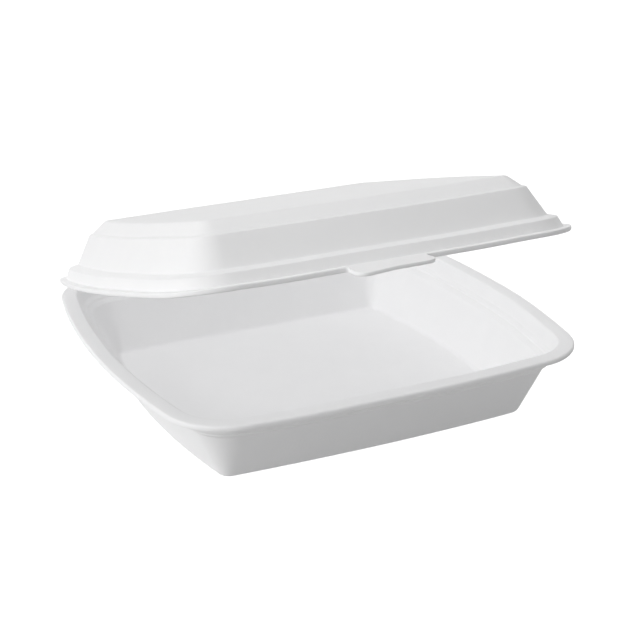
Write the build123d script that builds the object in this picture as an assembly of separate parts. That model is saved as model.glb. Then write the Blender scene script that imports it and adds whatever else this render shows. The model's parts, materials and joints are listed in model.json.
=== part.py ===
from build123d import *
from math import acos, asin, cos, degrees, hypot, radians, sin, sqrt, tan
import os

os.makedirs("parts", exist_ok=True)

# Foam clamshell container: a tray and a lid, thermoformed from one sheet of
# foamed polystyrene and folded along a crease at the back.
# Frame: X runs along the front edge, Y points to the crease, Z is up.
# The origin lies under the middle of the tray, on its underside. Millimetres.

# Plan of the rim, shared by the tray and the lid
width = 240.0
depth = 228.0
front_bow_radius = 1100.0
side_bow_radius = 440.0
rim_corner_radius = 34.0

# Foam sheet
wall = 2.2
flange_thickness = 2.6
edge_chamfer = 0.8
lip_chamfer = 1.0

# Tray, seen in section from the rim down
tray_height = 40.5
tray_flange_width = 7.5
tray_step_inset = 10.6
tray_step_drop = 9.4
tray_step_chamfer = 1.2
tray_ledge_inset = 14.6
tray_ledge_drop = 11.2
tray_ledge_chamfer = 1.2
tray_floor_corner_radius = 6.0
tray_floor_rounding = 5.6

# Lid, seen in section from the rim up
lid_height = 31.5
lid_flange_width = 4.0
lid_shoulder_inset = 6.6
lid_shoulder_rise = 8.0
lid_shoulder_chamfer = 1.2
lid_ledge_inset = 11.6
lid_ledge_rise = 9.4
lid_ledge_chamfer = 1.0
lid_ridge_inset = 20.4
lid_ridge_rise = 24.8
lid_ridge_chamfer = 0.6
lid_groove_inset = 22.6
lid_groove_rise = 25.5
lid_groove_chamfer = 0.6
lid_top_corner_radius = 4.0
lid_top_rounding = 4.0

# Crease at the back
crease_gap = 0.3
crease_web = 0.9
crease_taper = 3.0
open_angle = 16.0

# Lock: a tab on the lid's front flange and a slit under the tray's
lock_offset = -6.0
tab_width = 57.0
tab_reach = 12.0
tab_root = 2.5
tab_thickness = 2.0
tab_corner_radius = 5.0
tab_droop = 1.2
tab_fold = 20.0
tab_fold_droop = 3.6
slit_width = 48.0
slit_height = 2.4
slit_drop = 4.9
slit_cut_depth = 5.0

overshoot = 1.0  # how far a cutting shape stands out of what it cuts
smallest_flat = 0.05  # flat left between a rounding and the middle plate


def rim_arcs():
    """Centre, radius, first and last angle of the rim's arcs, from the front round to the back."""
    corner = rim_corner_radius
    front_y = front_bow_radius - depth / 2
    side_x = width / 2 - side_bow_radius

    # A front corner touches the front arc and the side arc from inside.
    to_front = front_bow_radius - corner
    to_side = side_bow_radius - corner
    span = hypot(side_x, front_y)
    along = (to_front**2 - to_side**2 + span**2) / (2 * span)
    off = sqrt(to_front**2 - along**2)
    unit_x = side_x / span
    unit_y = -front_y / span
    turned = -1 if unit_x * along < unit_y * off else 1
    corner_x = unit_x * along - turned * unit_y * off
    corner_y = front_y + unit_y * along + turned * unit_x * off
    front_turn = degrees(asin(corner_x / to_front))
    side_turn = degrees(asin(-corner_y / to_side))

    # A back corner touches the side arc and the straight crease.
    back_y = depth / 2 - corner
    back_x = side_x + sqrt(to_side**2 - back_y**2)
    back_turn = degrees(asin(back_y / to_side))

    return [
        ((0, front_y), front_bow_radius, -90 - front_turn, -90 + front_turn),
        ((corner_x, corner_y), corner, -90 + front_turn, -side_turn),
        ((side_x, 0), side_bow_radius, -side_turn, back_turn),
        ((back_x, back_y), corner, back_turn, 90),
    ]


def inner_corners(outer):
    """The inner skin's corners, one wall inside the outer skin's, down to the mating plane."""
    last_inset, height = outer[-1]
    points = [*outer, (last_inset + wall, height)]
    lines = []
    for (inset_a, rise_a), (inset_b, rise_b) in zip(points, points[1:]):
        run = hypot(inset_b - inset_a, rise_b - rise_a)
        step = ((inset_b - inset_a) / run, (rise_b - rise_a) / run)
        lines.append(((inset_a + step[1] * wall, rise_a - step[0] * wall), step))
    (inset_a, rise_a), step = lines[0]
    inner = [(inset_a - rise_a * step[0] / step[1], 0)]
    for (start_a, step_a), (start_b, step_b) in zip(lines, lines[1:]):
        gap = (start_b[0] - start_a[0], start_b[1] - start_a[1])
        turn = step_a[0] * step_b[1] - step_a[1] * step_b[0]
        reach = (gap[0] * step_b[1] - gap[1] * step_b[0]) / turn
        inner.append((start_a[0] + step_a[0] * reach, start_a[1] + step_a[1] * reach))
    return inner


def sheet_section(section, last_rounding):
    """Section of the sheet, from the rim at X zero to the flat middle, its bends softened."""
    outer = [(inset, rise) for inset, rise, size in section]
    inner = inner_corners(outer)
    height = outer[-1][1]
    rim_edge = [(0, 0), (0, flange_thickness)]
    flat_end = [(rim_corner_radius, height), (rim_corner_radius, height - wall)]
    corners = [*rim_edge, *outer, *flat_end, *reversed(inner)]
    face = make_face(Polyline(*[(-inset, rise) for inset, rise in corners], close=True))

    def corner(point):
        return face.vertices().sort_by_distance((-point[0], point[1], 0))[0]

    chamfers = [(point, edge_chamfer) for point in rim_edge] + [(inner[0], lip_chamfer)]
    for outer_point, inner_point, (inset, rise, size) in zip(outer, inner, section):
        if size > 0:
            chamfers += [(outer_point, size), (inner_point, size)]
    for point, size in chamfers:
        face = chamfer(corner(point), length=size)

    # The last bend is a true rounding, no larger than the flat beside it lets it be.
    (inset_a, rise_a), (inset_b, rise_b) = outer[-2:]
    half_turn = acos((inset_b - inset_a) / hypot(inset_b - inset_a, rise_b - rise_a)) / 2
    flat = rim_corner_radius - inner[-1][0]
    rounding = min(last_rounding + wall / 2, (flat - smallest_flat) / tan(half_turn))
    face = fillet(corner(outer[-1]), radius=rounding - wall / 2)
    return fillet(corner(inner[-1]), radius=rounding)


def turned_sector(face, centre, radius, first, last):
    """The section turned about one arc of the rim."""
    outward = Vector(cos(radians(first)), sin(radians(first)), 0)
    start = Plane(origin=(*centre, 0), x_dir=outward, z_dir=outward.cross(Vector(0, 0, 1)))
    return revolve(start * (Pos(radius, 0) * face), Axis((*centre, 0), (0, 0, 1)), last - first)


def foam_shell(section, last_rounding):
    """Thin shell with a flange, built upwards from the mating plane."""
    face = sheet_section(section, last_rounding)
    front, front_corner, side, back_corner = rim_arcs()
    right = [turned_sector(face, *arc) for arc in (front_corner, side, back_corner)]
    left = [mirror(sector, about=Plane.YZ) for sector in right]

    # The straight stretch along the crease runs between the two back corners.
    back_x, back_y = back_corner[0]
    start = Plane(origin=(-back_x, back_y, 0), x_dir=(0, 1, 0), z_dir=(1, 0, 0))
    back = extrude(start * (Pos(rim_corner_radius, 0) * face), amount=2 * back_x)

    # The flat middle lies between the centres of the corner arcs.
    height = section[-1][1]
    corner_x, corner_y = front_corner[0]
    front_y = front[0][1] - front_bow_radius + rim_corner_radius
    side_x = side[0][0] + side_bow_radius - rim_corner_radius
    middle = make_face(
        [
            ThreePointArc((-corner_x, corner_y), (0, front_y), (corner_x, corner_y)),
            ThreePointArc((corner_x, corner_y), (side_x, 0), (back_x, back_y)),
            Line((back_x, back_y), (-back_x, back_y)),
            ThreePointArc((-back_x, back_y), (-side_x, 0), (-corner_x, corner_y)),
        ]
    )
    plate = extrude(Pos(0, 0, height - wall) * middle, amount=wall)
    shell = turned_sector(face, *front) + right + left + back + plate - crease_cut()
    return shell + crease_edge(2 * back_x)


def crease_cut():
    """Takes the back edge of a flange down to the thin crease."""
    back = depth / 2
    edge = back - crease_gap / 2
    beyond = back + crease_taper
    above = flange_thickness + overshoot
    outline = Polyline(
        (back - crease_taper, above),
        (back - crease_taper, flange_thickness),
        (edge, crease_web),
        (edge, -overshoot),
        (beyond, -overshoot),
        (beyond, above),
        close=True,
    )
    return Pos(-width / 2, 0, 0) * extrude(Plane.YZ * make_face(outline), amount=width)


def crease_edge(length):
    """Fills the chamfer along the crease, so that the thin edge is whole down to the mating plane."""
    edge = depth / 2 - crease_gap / 2
    strip = Box(length, 2 * edge_chamfer, crease_web, align=(Align.CENTER, Align.MAX, Align.MIN))
    return Pos(0, edge, 0) * strip


def lock_tab():
    """Tongue on the front of the lid with rounded ears, its left end folded down."""
    front = -depth / 2
    root = front + tab_root
    left = lock_offset - tab_width / 2

    def cross_section(x, droop):
        points = [
            (x, root, 0),
            (x, front, 0),
            (x, front - tab_reach, -droop),
            (x, front - tab_reach, tab_thickness - droop),
            (x, front, tab_thickness),
            (x, root, tab_thickness),
        ]
        return make_face(Polyline(*points, close=True))

    left_end = cross_section(left, tab_fold_droop)
    fold = cross_section(left + tab_fold, tab_droop)
    tongue = loft([left_end, fold], ruled=True) + extrude(fold, amount=tab_width - tab_fold, dir=(1, 0, 0))
    length = tab_root + tab_reach
    plan = Pos(lock_offset, root - length / 2) * RectangleRounded(tab_width, length, tab_corner_radius)
    return tongue & extrude(plan, amount=tab_reach, both=True)


def lock_slit():
    """Slit through the step just under the tray's front flange."""
    front = -depth / 2
    slot = Plane.XZ * SlotOverall(slit_width, slit_height)
    cut = extrude(slot, amount=slit_cut_depth, both=True)
    return Pos(lock_offset, front + tray_step_inset, slit_drop) * cut


# Tray: built from the mating plane, then turned over
tray_section = [
    (tray_flange_width, flange_thickness, 0),
    (tray_step_inset, tray_step_drop, tray_step_chamfer),
    (tray_ledge_inset, tray_ledge_drop, tray_ledge_chamfer),
    (rim_corner_radius - tray_floor_corner_radius, tray_height, 0),
]
tray = foam_shell(tray_section, tray_floor_rounding) - lock_slit()
tray = Pos(0, 0, tray_height) * mirror(tray, about=Plane.XY)

# Lid: built shut, then swung open about the crease
lid_section = [
    (lid_flange_width, flange_thickness, 0),
    (lid_shoulder_inset, lid_shoulder_rise, lid_shoulder_chamfer),
    (lid_ledge_inset, lid_ledge_rise, lid_ledge_chamfer),
    (lid_ridge_inset, lid_ridge_rise, lid_ridge_chamfer),
    (lid_groove_inset, lid_groove_rise, lid_groove_chamfer),
    (rim_corner_radius - lid_top_corner_radius, lid_height, 0),
]
crease = Axis((0, depth / 2, tray_height + crease_gap / 2), (-1, 0, 0))
lid = foam_shell(lid_section, lid_top_rounding) + lock_tab()
lid = (Pos(0, 0, tray_height + crease_gap) * lid).rotate(crease, open_angle)

for name, piece in (("tray", tray), ("lid", lid)):
    solids = piece.solids()
    print(name, len(solids), "solid,", round(piece.volume), "mm3")
    export_step(piece, f"parts/{name}.step")
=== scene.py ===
import json
import math

import bmesh
import bpy
from mathutils import Matrix, Vector, noise


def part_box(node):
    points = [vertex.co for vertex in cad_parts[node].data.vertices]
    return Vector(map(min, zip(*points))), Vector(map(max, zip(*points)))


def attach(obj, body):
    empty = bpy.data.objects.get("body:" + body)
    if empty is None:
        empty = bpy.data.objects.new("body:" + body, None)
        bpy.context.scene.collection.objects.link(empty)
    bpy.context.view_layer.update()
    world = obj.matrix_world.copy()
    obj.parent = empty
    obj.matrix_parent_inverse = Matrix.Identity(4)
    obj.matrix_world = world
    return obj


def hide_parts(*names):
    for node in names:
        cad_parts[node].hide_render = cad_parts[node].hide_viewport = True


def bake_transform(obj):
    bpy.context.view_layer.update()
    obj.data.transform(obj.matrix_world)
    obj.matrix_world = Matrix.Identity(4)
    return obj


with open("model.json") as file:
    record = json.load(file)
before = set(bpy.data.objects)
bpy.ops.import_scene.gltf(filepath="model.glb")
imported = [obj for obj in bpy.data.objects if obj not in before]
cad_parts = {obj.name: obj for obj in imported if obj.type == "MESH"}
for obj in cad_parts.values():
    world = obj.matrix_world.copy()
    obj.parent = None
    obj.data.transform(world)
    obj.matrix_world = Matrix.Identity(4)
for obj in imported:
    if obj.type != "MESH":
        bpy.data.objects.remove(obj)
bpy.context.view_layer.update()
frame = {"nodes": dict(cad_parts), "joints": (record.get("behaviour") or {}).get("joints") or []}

mm = 0.001
hair = 0.001 * mm  # slack in comparing places, smaller than any real size
quarterTurn = math.pi / 2
joint = frame["joints"][0]
crease = Vector(joint["pos_m"])
openAngle = math.radians(-joint["range_deg"][0])
trayLow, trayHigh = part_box("tray")
print("frame loaded:", ", ".join(sorted(frame["nodes"])))

# Plan of the rim, shared by the tray and the lid
rim = {
    "width": trayHigh.x - trayLow.x,
    "depth": 2 * crease.y,
    "frontBow": 1100 * mm,
    "sideBow": 440 * mm,
    "corner": 34 * mm,
    "frontSteps": 30,  # columns on the front, each side of the lock
    "lockSteps": 40,
    "cornerSteps": 22,
    "sideSteps": 56,
    "backSteps": 48,
}

# The foam sheet, its thin crease and its small unevenness
sheet = {
    "wall": 2.2 * mm,
    "flangeThick": 2.6 * mm,
    "matingRound": 1.3 * mm,  # trimmed edge on the side where tray and lid meet
    "outerRound": 0.6 * mm,
    "lipRound": 1.6 * mm,
    "rootRound": 0.6 * mm,
    "innerRound": 0.9 * mm,
    "creaseThick": 0.9 * mm,
    "creaseTaper": 3 * mm,
    "trim": 0.15 * mm,  # what the edge stays back from the full size, at the crease and for its wobble
    "arcSteps": 7,
    "longestStretch": 5 * mm,
    "closestRows": 0.4 * mm,  # a row nearer than this to a cut gives way to it
    "cornerShare": 0.48,  # most of a straight stretch that one corner's rounding may take
    "flatEnd": 0.5 * mm,  # corner radius at which the flat middle begins
    "middleRings": 9,
    "seed": 3,  # without it the swell would change from run to run
    "swell": 0.2 * mm,  # slow wave of the sheet
    "swellSize": 46 * mm,
    "wave": 0.45 * mm,  # rise and fall of both rims together
    "waveSize": 42 * mm,
    "wobble": 0.12 * mm,  # fine wave of the trimmed edge
    "wobbleSize": 8 * mm,
    "wobbleReach": 2.5 * mm,
    "calmNearCrease": 18 * mm,
}
noise.seed_set(sheet["seed"])


def rimArcs():  # centre, radius, first and last angle of the rim's arcs, from the front to the back
    corner = rim["corner"]
    frontY = rim["frontBow"] - rim["depth"] / 2
    sideX = rim["width"] / 2 - rim["sideBow"]
    toFront = rim["frontBow"] - corner
    toSide = rim["sideBow"] - corner
    span = math.hypot(sideX, frontY)
    along = (toFront**2 - toSide**2 + span**2) / (2 * span)
    off = math.sqrt(toFront**2 - along**2)
    unitX = sideX / span
    unitY = -frontY / span
    turned = 1 if unitX * along > unitY * off else -1
    cornerX = unitX * along - turned * unitY * off
    cornerY = frontY + unitY * along + turned * unitX * off
    frontTurn = math.asin(cornerX / toFront)
    sideTurn = math.asin(-cornerY / toSide)
    backY = rim["depth"] / 2 - corner
    backX = sideX + math.sqrt(toSide**2 - backY**2)
    backTurn = math.asin(backY / toSide)
    return {
        "front": ((0, frontY), rim["frontBow"], -frontTurn - quarterTurn, frontTurn - quarterTurn),
        "frontCorner": ((cornerX, cornerY), corner, frontTurn - quarterTurn, -sideTurn),
        "side": ((sideX, 0), rim["sideBow"], -sideTurn, backTurn),
        "backCorner": ((backX, backY), corner, backTurn, quarterTurn),
    }


def spread(first, last, steps):  # even steps from first, leaving out last
    return [first + (last - first) * step / steps for step in range(steps)]


def rimColumns(lockEnds):  # places on the full rim with their outward directions, from the front left round
    arcs = rimArcs()

    def onArc(name, angles):
        centre, radius = arcs[name][:2]
        outward = [Vector((math.cos(angle), math.sin(angle), 0)) for angle in angles]
        return [(Vector((*centre, 0)) + way * radius, way) for way in outward]

    first, last = arcs["front"][2:]
    lock = [math.asin(x / rim["frontBow"]) - quarterTurn for x in lockEnds]
    angles = spread(first, lock[0], rim["frontSteps"])
    angles += spread(lock[0], lock[1], rim["lockSteps"])
    angles += spread(lock[1], last, rim["frontSteps"])
    front = onArc("front", angles)
    right = []
    for name, steps in (("frontCorner", "cornerSteps"), ("side", "sideSteps"), ("backCorner", "cornerSteps")):
        right += onArc(name, spread(*arcs[name][2:], rim[steps]))
    backX = arcs["backCorner"][0][0]
    backward = Vector((0, 1, 0))
    places = spread(backX, -backX, rim["backSteps"]) + [-backX]
    back = [(Vector((x, rim["depth"] / 2, 0)), backward) for x in places]
    opposite = reversed(right[1:])
    left = [(Vector((-place.x, place.y, 0)), Vector((-way.x, way.y, 0))) for place, way in opposite]
    return front + right + back + left


def innerCorners(section):  # the inner skin's corners, one wall inside the outer skin's
    points = [(inset, rise) for inset, rise, rounding in section]
    points.append((points[-1][0] + mm, points[-1][1]))
    lines = []
    for (insetA, riseA), (insetB, riseB) in zip(points, points[1:]):
        run = math.hypot(insetB - insetA, riseB - riseA)
        step = ((insetB - insetA) / run, (riseB - riseA) / run)
        lines.append(((insetA + step[1] * sheet["wall"], riseA - step[0] * sheet["wall"]), step))
    (insetA, riseA), step = lines[0]
    inner = [(insetA - riseA * step[0] / step[1], 0)]
    for (startA, stepA), (startB, stepB) in zip(lines, lines[1:]):
        gap = (startB[0] - startA[0], startB[1] - startA[1])
        turn = stepA[0] * stepB[1] - stepA[1] * stepB[0]
        reach = (gap[0] * stepB[1] - gap[1] * stepB[0]) / turn
        inner.append((startA[0] + stepA[0] * reach, startA[1] + stepA[1] * reach))
    return inner


def wholeSection(section):  # inset, rise and rounding, from the inner middle over the rim to the outer middle
    inner = []
    for index, ((inset, rise), mate) in enumerate(zip(innerCorners(section), section)):
        bendsIn = index % 2 == 1
        tight = max(mate[2] - sheet["wall"], sheet["innerRound"])
        rounding = tight if bendsIn else mate[2] + sheet["wall"] / 2
        inner.append((inset, rise, rounding if index else sheet["lipRound"]))
    thick = sheet["flangeThick"]
    edge = [
        (sheet["trim"], 0, sheet["matingRound"]),
        (sheet["trim"], thick, sheet["outerRound"]),
        (sheet["creaseTaper"], thick, 0),
    ]
    outer = [(*section[0][:2], sheet["rootRound"]), *section[1:]]
    middle = rim["corner"] - sheet["flatEnd"]
    return [(middle, inner[-1][1], 0), *inner[::-1], *edge, *outer, (middle, outer[-1][1], 0)]


def roundedPath(nodes, cuts):  # (inset, rise) points, the corners as arcs, a point at each cut's rise
    path = [Vector(nodes[0][:2])]

    def straightTo(end):
        start = path[-1]
        pieces = max(1, math.ceil((end - start).length / sheet["longestStretch"]))
        shares = [step / pieces for step in range(1, pieces)]
        for rise in cuts:
            if min(start.y, end.y) < rise < max(start.y, end.y):
                share = (rise - start.y) / (end.y - start.y)
                nearest = sheet["closestRows"] / (end - start).length
                shares = [other for other in shares if abs(other - share) > nearest]
                shares.append(share)
        path.extend(start.lerp(end, share) for share in [*sorted(shares), 1])

    for before, node, after in zip(nodes, nodes[1:], nodes[2:]):
        here = Vector(node[:2])
        back = Vector(before[:2]) - here
        onward = Vector(after[:2]) - here
        if not node[2]:
            straightTo(here)
            continue
        turn = math.pi - back.angle(onward)
        tangent = min(node[2] * math.tan(turn / 2), sheet["cornerShare"] * min(back.length, onward.length))
        arcStart = here + back.normalized() * tangent
        arcEnd = here + onward.normalized() * tangent
        straightTo(arcStart)
        weight = math.cos(turn / 2)
        for step in range(1, sheet["arcSteps"] + 1):
            t = step / sheet["arcSteps"]
            a, b, c = (1 - t) ** 2, 2 * t * (1 - t) * weight, t**2
            path.append((arcStart * a + here * b + arcEnd * c) / (a + b + c))
    straightTo(Vector(nodes[-1][:2]))
    return path


def settle(column, inset, rise):  # one point of the sheet, with its small waves and the thin crease
    place, outward = column
    point = place - outward * inset
    halfDepth = rim["depth"] / 2
    intoTaper = max(0, point.y - halfDepth + sheet["creaseTaper"]) / (sheet["creaseTaper"] - sheet["trim"])
    thin = 1 - intoTaper * (1 - sheet["creaseThick"] / sheet["flangeThick"])
    point.z = rise * thin
    calm = min(1, (halfDepth - point.y) / sheet["calmNearCrease"])
    near = max(0, 1 - inset / sheet["wobbleReach"])
    swell = noise.noise_vector(point / sheet["swellSize"]) * sheet["swell"] * (1 - near)
    swell.z *= min(1, rise / rim["corner"])
    wobble = outward * noise.noise(point / sheet["wobbleSize"]) * sheet["wobble"] * near
    return point + (swell + wobble) * calm


def rimWave(point):  # how far both rims rise or fall at one place, so that they still meet when shut
    calm = min(1, max(0, rim["depth"] / 2 - point.y) / sheet["calmNearCrease"])
    flat = Vector((point.x, point.y, 0))
    return noise.noise(flat / sheet["waveSize"]) * sheet["wave"] * calm


def extrudeRing(bm, ring, places):  # a new row of faces on from ring, its far side put at places
    held = set(ring)
    loose = dict.fromkeys(edge for vert in ring for edge in vert.link_edges if edge.is_boundary)
    edges = [edge for edge in loose if held.issuperset(edge.verts)]
    made = bmesh.ops.extrude_edge_only(bm, edges=edges)["geom"]
    fresh = {item for item in made if isinstance(item, bmesh.types.BMVert)}
    following = []
    for vert, place in zip(ring, places):
        partner = next(edge.other_vert(vert) for edge in vert.link_edges if edge.other_vert(vert) in fresh)
        partner.co = place
        following.append(partner)
    return following


def foamShell(section, lockEnds, cuts=()):  # rows from the inner middle, over the rim, to the outer middle
    path = roundedPath(wholeSection(section), cuts)
    columns = rimColumns(lockEnds)
    outlines = [[settle(column, inset, rise) for column in columns] for inset, rise in path]
    count = sheet["middleRings"]

    def middle(outline, share):
        heart = Vector((0, 0, sum(point.z for point in outline) / len(outline)))
        return [heart.lerp(point, share) for point in outline]

    shares = [ring / count for ring in range(1, count)]
    bm = bmesh.new()
    bmesh.ops.create_circle(bm, cap_ends=True, cap_tris=True, segments=len(columns), radius=mm)
    pole = max(bm.verts, key=lambda vert: len(vert.link_edges))
    pole.co = middle(outlines[0], 0)[0]
    ring = [vert for vert in bm.verts if vert is not pole]
    for vert, place in zip(ring, middle(outlines[0], shares[0])):
        vert.co = place
    for share in shares[1:]:
        ring = extrudeRing(bm, ring, middle(outlines[0], share))
    rows = []
    for outline in outlines:
        ring = extrudeRing(bm, ring, outline)
        rows.append(ring)
    for share in [*reversed(shares), 0]:
        ring = extrudeRing(bm, ring, middle(outlines[-1], share))
    bmesh.ops.pointmerge(bm, verts=ring, merge_co=ring[0].co)
    return bm, rows, path


def lockColumns():  # the columns of a row that lie across the lock
    return range(rim["frontSteps"], rim["frontSteps"] + rim["lockSteps"] + 1)


def facesBetween(rows, picked, columns):  # the faces across the picked rows and the given columns
    found = set()
    for rowA, rowB in zip(picked, picked[1:]):
        for columnA, columnB in zip(columns, columns[1:]):
            corners = {rows[rowA][columnA], rows[rowA][columnB], rows[rowB][columnA], rows[rowB][columnB]}
            found |= {face for face in rows[rowA][columnA].link_faces if set(face.verts) == corners}
    return found


def finishPiece(bm, name, body=None):  # faces turned outward and smooth, riding on its body
    bm.normal_update()
    bmesh.ops.recalc_face_normals(bm, faces=bm.faces)
    for face in bm.faces:
        face.smooth = True
    mesh = bpy.data.meshes.new(name)
    bm.to_mesh(mesh)
    bm.free()
    piece = bpy.data.objects.new(name, mesh)
    bpy.context.scene.collection.objects.link(piece)
    if body:
        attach(piece, body)
    return piece


# The tray, as inset, drop from the top of its rim and rounding
tray = {
    "section": [
        (7.5 * mm, 2.6 * mm, 0),
        (10.2 * mm, 8.2 * mm, 0.4 * mm),
        (12 * mm, 9.8 * mm, 0.4 * mm),
        (12.4 * mm, 10.8 * mm, 0.4 * mm),
        (14.8 * mm, 12.8 * mm, 0.4 * mm),
        (28 * mm, 40.5 * mm, 5.6 * mm),
    ],
    "backLean": 5 * mm,  # how far the foot of the back wall comes forward
    "leanReach": 90 * mm,  # how far in from the crease that fades out
    "slitEnds": (-25 * mm, 13 * mm),
    "slitInside": (4.6 * mm, 6.7 * mm),  # its drop at the inner and the outer skin
    "slitOutside": (5.6 * mm, 8 * mm),
    "slitSlope": 1.5 * mm,  # more than the slit drops from skin to skin
    "slitReach": 3.3 * mm,  # how far inside the flange's root its rows may lie
    "slitCorner": 0.9 * mm,
    "cornerSegments": 3,
}


def openSlit(bm, rows, path):  # a slit through both skins of the step under the front flange
    edgeRow = min(range(len(path)), key=lambda index: path[index].x)
    nearest = tray["section"][0][0] - tray["slitReach"]
    doomed = set()
    corners = []
    skins = ((range(edgeRow), tray["slitInside"]), (range(edgeRow, len(path)), tray["slitOutside"]))
    for skin, (top, bottom) in skins:
        inside = [index for index in skin
                  if path[index].x > nearest and top - hair < path[index].y < bottom + hair]
        doomed |= facesBetween(rows, inside, lockColumns())
        corners += [rows[index][column] for index in (inside[0], inside[-1])
                    for column in (lockColumns()[0], lockColumns()[-1])]
    bmesh.ops.delete(bm, geom=list(doomed), context="FACES")
    bmesh.ops.bridge_loops(bm, edges=[edge for edge in bm.edges if edge.is_boundary])
    across = {edge for vert in corners for edge in vert.link_edges if edge.other_vert(vert) in corners
              and abs(edge.verts[0].co.z - edge.verts[1].co.z) < tray["slitSlope"]}
    print("slit opened:", len(across), "corners")
    bmesh.ops.bevel(bm, geom=list(across), offset=tray["slitCorner"], affect="EDGES",
                    segments=tray["cornerSegments"], profile=0.5, material=-1)


def makeTray():
    bm, rows, path = foamShell(tray["section"], tray["slitEnds"], tray["slitInside"] + tray["slitOutside"])
    openSlit(bm, rows, path)
    height = trayHigh.z
    for vert in bm.verts:
        nearBack = max(0, 1 - (rim["depth"] / 2 - vert.co.y) / tray["leanReach"])
        vert.co.y -= tray["backLean"] * nearBack * max(0, vert.co.z - sheet["flangeThick"]) / height
        nearRim = max(0, 1 - vert.co.z / height)
        vert.co.z = max(0, height - vert.co.z + rimWave(vert.co) * nearRim)
    piece = finishPiece(bm, "foamTray", "tray")
    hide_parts("tray")
    return piece


# The lid, as inset, rise from the underside of its rim and rounding
lid = {
    "section": [
        (4 * mm, 2.6 * mm, 0),
        (6.6 * mm, 8 * mm, 1 * mm),
        (11.6 * mm, 9.4 * mm, 1 * mm),
        (20.4 * mm, 24.8 * mm, 1.2 * mm),
        (22.6 * mm, 25.5 * mm, 1.2 * mm),
        (30 * mm, 31.5 * mm, 4 * mm),
    ],
    "shutGap": 2 * (crease.z - trayHigh.z),
    "tabEnds": (-28 * mm, 13 * mm),
    "tabReach": 12 * mm,
    "tabSteps": 12,
    "tabCorner": 5 * mm,
    "tabThick": 2 * mm,
    "tabThinning": 3 * mm,  # over this length the tab comes down to its thickness
    "tabDroop": 1.2 * mm,
    "tabFold": (13 * mm, 20 * mm),  # where the left end bends down, at the tab's root and at its tip
    "tabFoldDroop": 0.9 * mm,
    "tabCurl": 1.3,
}


def growTab(bm, rows, path):  # the lock tab, drawn out of the trimmed edge in steps
    edge = sheet["trim"] + sheet["matingRound"] + hair
    edgeRows = [index for index, place in enumerate(path) if place.x < edge]
    faces = facesBetween(rows, edgeRows, lockColumns())
    root = bm.verts.layers.float_vector.new("root")
    for vert in bm.verts:
        vert[root] = vert.co
    left, right = lid["tabEnds"]
    centre = (left + right) / 2
    half = (right - left) / 2
    reach = lid["tabReach"]
    for step in range(1, lid["tabSteps"] + 1):
        distance = reach * math.sin(quarterTurn * step / lid["tabSteps"])
        made = bmesh.ops.extrude_face_region(bm, geom=list(faces))["geom"]
        bmesh.ops.delete(bm, geom=list(faces), context="FACES_ONLY")
        faces = {item for item in made if isinstance(item, bmesh.types.BMFace)}
        intoCorner = max(0, distance - reach + lid["tabCorner"])
        narrow = lid["tabCorner"] - math.sqrt(lid["tabCorner"] ** 2 - intoCorner**2)
        thin = 1 - (1 - lid["tabThick"] / sheet["flangeThick"]) * min(1, distance / lid["tabThinning"])
        fold = lid["tabFold"][0] + (lid["tabFold"][1] - lid["tabFold"][0]) * distance / reach
        for vert in {item for item in made if isinstance(item, bmesh.types.BMVert)}:
            start = vert[root]
            folded = max(0, 1 - (start.x - left) / fold)
            droop = lid["tabDroop"] + lid["tabFoldDroop"] * folded
            vert.co.x = centre + (start.x - centre) * (half - narrow) / half
            vert.co.y = start.y - distance
            vert.co.z = start.z * thin - droop * (distance / reach) ** lid["tabCurl"]
    bm.verts.layers.float_vector.remove(root)


def makeLid():
    bm, rows, path = foamShell(lid["section"], lid["tabEnds"])
    growTab(bm, rows, path)
    base = trayHigh.z + lid["shutGap"]
    height = lid["section"][-1][1]
    for vert in bm.verts:
        nearRim = min(1, max(0, 1 - vert.co.z / height))
        vert.co.z += base + rimWave(vert.co) * nearRim
    bmesh.ops.rotate(bm, cent=crease, matrix=Matrix.Rotation(-openAngle, 3, "X"), verts=bm.verts)
    piece = finishPiece(bm, "foamLid", "lid")
    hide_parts("lid")
    return piece


# The thin web of the crease, as places beside the crease's line: (behind it, above it)
web = {
    "edge": (-0.6 * mm, 0.95 * mm),
    "inside": (-0.6 * mm, 0.25 * mm),
    "foldOutside": 0.1 * mm,
    "foldInside": -0.05 * mm,
    "bendZone": 0.2 * mm,
}


def makeWeb():  # the sheet goes on unbroken from the tray to the lid
    halfLength = rimArcs()["backCorner"][0][0]
    turn = Matrix.Rotation(-openAngle, 3, "X")
    (edgeY, edgeZ), (insideY, insideZ) = web["edge"], web["inside"]
    section = [
        Vector((0, edgeY, -edgeZ)),
        Vector((0, web["foldOutside"], 0)),
        turn @ Vector((0, edgeY, edgeZ)),
        turn @ Vector((0, insideY, insideZ)),
        Vector((0, web["foldInside"], 0)),
        Vector((0, insideY, -insideZ)),
    ]
    bm = bmesh.new()
    end = bm.faces.new([bm.verts.new(crease + Vector((-halfLength, 0, 0)) + point) for point in section])
    made = bmesh.ops.extrude_face_region(bm, geom=[end])["geom"]
    farEnd = [item for item in made if isinstance(item, bmesh.types.BMVert)]
    bmesh.ops.translate(bm, vec=(2 * halfLength, 0, 0), verts=farEnd)
    lengthwise = [edge for edge in bm.edges if abs(edge.verts[0].co.x - edge.verts[1].co.x) > halfLength]
    bmesh.ops.subdivide_edges(bm, edges=lengthwise, cuts=rim["backSteps"] - 1)
    piece = finishPiece(bm, "creaseWeb")
    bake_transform(piece)
    return piece


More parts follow.
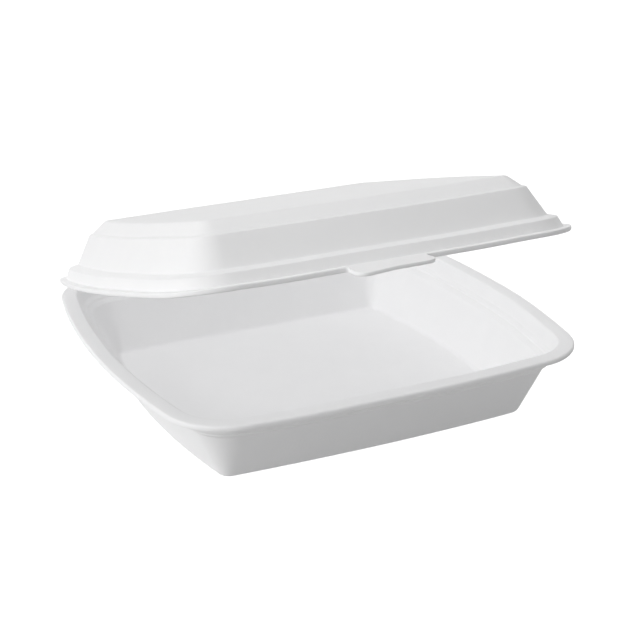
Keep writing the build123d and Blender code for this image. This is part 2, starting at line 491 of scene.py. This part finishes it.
# Foam: white, with soft beads under a satin skin, and light passing a little way through it
foam = {
    "colour": (0.94, 0.94, 0.942, 1),
    "shade": (0.905, 0.905, 0.912, 1),
    "smooth": 0.42,
    "rough": 0.6,
    "cloudsPerMetre": 60,
    "cloudDetail": 4,
    "beadsPerMetre": 620,
    "beadHeight": 0.035 * mm,
    "ripplesPerMetre": 130,
    "rippleHeight": 0.1 * mm,
    "glow": 0.15,
    "glowReach": 2.4 * mm,
    "letsThrough": 0.85,  # share of a lamp's light that goes on through each side of the sheet
    "ior": 1.4,
}


def noiseNode(nodes, links, where, scale, detail):
    clouds = nodes.new("ShaderNodeTexNoise")
    clouds.inputs["Scale"].default_value = scale
    clouds.inputs["Detail"].default_value = detail
    links.new(where.outputs["Object"], clouds.inputs["Vector"])
    return clouds


def bumpNode(nodes, links, height, distance):
    bump = nodes.new("ShaderNodeBump")
    bump.inputs["Distance"].default_value = distance
    links.new(height, bump.inputs["Height"])
    return bump


def foamMaterial():
    material = bpy.data.materials.new("whiteFoam")
    material.use_nodes = True
    nodes = material.node_tree.nodes
    links = material.node_tree.links
    skin = nodes["Principled BSDF"]
    skin.inputs["IOR"].default_value = foam["ior"]
    skin.inputs["Subsurface Weight"].default_value = foam["glow"]
    skin.inputs["Subsurface Radius"].default_value = (1, 1, 1)
    skin.inputs["Subsurface Scale"].default_value = foam["glowReach"]
    where = nodes.new("ShaderNodeTexCoord")
    clouds = noiseNode(nodes, links, where, foam["cloudsPerMetre"], foam["cloudDetail"])
    tint = nodes.new("ShaderNodeMix")
    tint.data_type = "RGBA"
    tint.inputs[6].default_value = foam["shade"]
    tint.inputs[7].default_value = foam["colour"]
    links.new(clouds.outputs["Fac"], tint.inputs[0])
    links.new(tint.outputs[2], skin.inputs["Base Color"])
    finish = nodes.new("ShaderNodeMapRange")
    finish.inputs["To Min"].default_value = foam["smooth"]
    finish.inputs["To Max"].default_value = foam["rough"]
    links.new(clouds.outputs["Fac"], finish.inputs["Value"])
    links.new(finish.outputs["Result"], skin.inputs["Roughness"])
    ripples = noiseNode(nodes, links, where, foam["ripplesPerMetre"], foam["cloudDetail"])
    beads = nodes.new("ShaderNodeTexVoronoi")
    beads.feature = "SMOOTH_F1"
    beads.inputs["Scale"].default_value = foam["beadsPerMetre"]
    links.new(where.outputs["Object"], beads.inputs["Vector"])
    rippled = bumpNode(nodes, links, ripples.outputs["Fac"], foam["rippleHeight"])
    beaded = bumpNode(nodes, links, beads.outputs["Distance"], foam["beadHeight"])
    links.new(rippled.outputs["Normal"], beaded.inputs["Normal"])
    links.new(beaded.outputs["Normal"], skin.inputs["Normal"])
    clear = nodes.new("ShaderNodeBsdfTransparent")
    lightPath = nodes.new("ShaderNodeLightPath")
    passing = nodes.new("ShaderNodeMath")
    passing.operation = "MULTIPLY"
    passing.inputs[1].default_value = foam["letsThrough"]
    links.new(lightPath.outputs["Is Shadow Ray"], passing.inputs[0])
    pick = nodes.new("ShaderNodeMixShader")
    links.new(passing.outputs[0], pick.inputs[0])
    links.new(skin.outputs[0], pick.inputs[1])
    links.new(clear.outputs[0], pick.inputs[2])
    links.new(pick.outputs[0], nodes["Material Output"].inputs["Surface"])
    return material


# Floor and lamps. A lamp's level is the brightness it gives a white surface that faces it
studio = {
    "floorSize": 8,
    "floorDrop": 0.05 * mm,
    "floorColour": (0.5, 0.5, 0.5, 1),
    "floorGlow": 0.9,
    "worldLevel": 0.3,
    "aim": (0, 0, 50 * mm),
    "lamps": {
        "keyLamp": {"place": (-1.85, -0.15, 0.78), "size": 1.4, "level": 0.57},
        "topLamp": {"place": (0.7, 0.45, 1.8), "size": 1.4, "level": 0.33},
        "fillLamp": {"place": (-1, -1.5, 0.5), "size": 1.2, "level": 0.12},
    },
}


def cleanView(nodes, links):  # 1 for what the camera, a gloss or a clear body sees
    lightPath = nodes.new("ShaderNodeLightPath")
    total = lightPath.outputs["Is Camera Ray"]
    for name in ("Is Glossy Ray", "Is Transmission Ray"):
        add = nodes.new("ShaderNodeMath")
        add.use_clamp = True
        links.new(total, add.inputs[0])
        links.new(lightPath.outputs[name], add.inputs[1])
        total = add.outputs[0]
    return total


def makeFloor():
    bm = bmesh.new()
    bmesh.ops.create_grid(bm, x_segments=1, y_segments=1, size=studio["floorSize"] / 2)
    bmesh.ops.translate(bm, vec=(0, 0, -studio["floorDrop"]), verts=bm.verts)
    floor = finishPiece(bm, "floor")
    material = bpy.data.materials.new("paleFloor")
    material.use_nodes = True
    nodes = material.node_tree.nodes
    links = material.node_tree.links
    nodes.remove(nodes["Principled BSDF"])
    matt = nodes.new("ShaderNodeBsdfDiffuse")
    matt.inputs["Color"].default_value = studio["floorColour"]
    glow = nodes.new("ShaderNodeEmission")
    glow.inputs["Strength"].default_value = studio["floorGlow"]
    both = nodes.new("ShaderNodeAddShader")
    links.new(matt.outputs[0], both.inputs[0])
    links.new(glow.outputs[0], both.inputs[1])
    pick = nodes.new("ShaderNodeMixShader")
    links.new(cleanView(nodes, links), pick.inputs[0])
    links.new(matt.outputs[0], pick.inputs[1])
    links.new(both.outputs[0], pick.inputs[2])
    links.new(pick.outputs[0], nodes["Material Output"].inputs["Surface"])
    floor.data.materials.append(material)


def makeWorld():
    world = bpy.data.worlds.new("studio")
    world.use_nodes = True
    bpy.context.scene.world = world
    nodes = world.node_tree.nodes
    links = world.node_tree.links
    dim = nodes["Background"]
    dim.inputs["Color"].default_value = (1, 1, 1, 1)
    dim.inputs["Strength"].default_value = studio["worldLevel"]
    white = nodes.new("ShaderNodeBackground")
    white.inputs["Color"].default_value = (1, 1, 1, 1)
    pick = nodes.new("ShaderNodeMixShader")
    links.new(cleanView(nodes, links), pick.inputs[0])
    links.new(dim.outputs[0], pick.inputs[1])
    links.new(white.outputs[0], pick.inputs[2])
    links.new(pick.outputs[0], nodes["World Output"].inputs["Surface"])


def makeLamps():
    for name, values in studio["lamps"].items():
        place = Vector(values["place"])
        lampData = bpy.data.lights.new(name, "AREA")
        lampData.shape = "SQUARE"
        lampData.size = values["size"]
        aim = Vector(studio["aim"]) - place
        lampData.energy = values["level"] * math.pi**2 * aim.length_squared
        lamp = bpy.data.objects.new(name, lampData)
        bpy.context.scene.collection.objects.link(lamp)
        lamp.location = place
        lamp.rotation_mode = "QUATERNION"
        lamp.rotation_quaternion = aim.to_track_quat("-Z", "Y")


# The photograph's camera, its angles in degrees
camera = {
    "azimuth": -25.106,
    "elevation": 22.005,
    "roll": -0.631,
    "distance": 789.1 * mm,
    "target": (0, 0, 35 * mm),
    "focalPixels": 1455.3,
    "centrePixel": (307.25, 324.67),
    "frame": 640,
}


def makeCamera():
    azimuth = math.radians(camera["azimuth"])
    elevation = math.radians(camera["elevation"])
    level = math.cos(elevation)
    back = Vector((math.sin(azimuth) * level, -math.cos(azimuth) * level, math.sin(elevation)))
    cameraData = bpy.data.cameras.new("photoCamera")
    cameraData.lens = camera["focalPixels"] / camera["frame"] * cameraData.sensor_width
    cameraData.shift_x = 0.5 - camera["centrePixel"][0] / camera["frame"]
    cameraData.shift_y = camera["centrePixel"][1] / camera["frame"] - 0.5
    shot = bpy.data.objects.new("photoCamera", cameraData)
    bpy.context.scene.collection.objects.link(shot)
    shot.location = Vector(camera["target"]) + back * camera["distance"]
    roll = Matrix.Rotation(math.radians(camera["roll"]), 3, "Z")
    turn = (-back).to_track_quat("-Z", "Y").to_matrix() @ roll
    shot.rotation_mode = "QUATERNION"
    shot.rotation_quaternion = turn.to_quaternion()
    bpy.context.scene.camera = shot


foamSkin = foamMaterial()
for piece in (makeTray(), makeLid(), makeWeb()):
    piece.data.materials.append(foamSkin)
    print(piece.name, "made:", len(piece.data.polygons), "faces")
for node in frame["nodes"].values():
    node.data.materials.clear()
    node.data.materials.append(foamSkin)
makeFloor()
makeWorld()
makeLamps()
makeCamera()
bpy.context.scene.view_settings.view_transform = "Standard"
print("floor, lamps and camera made")
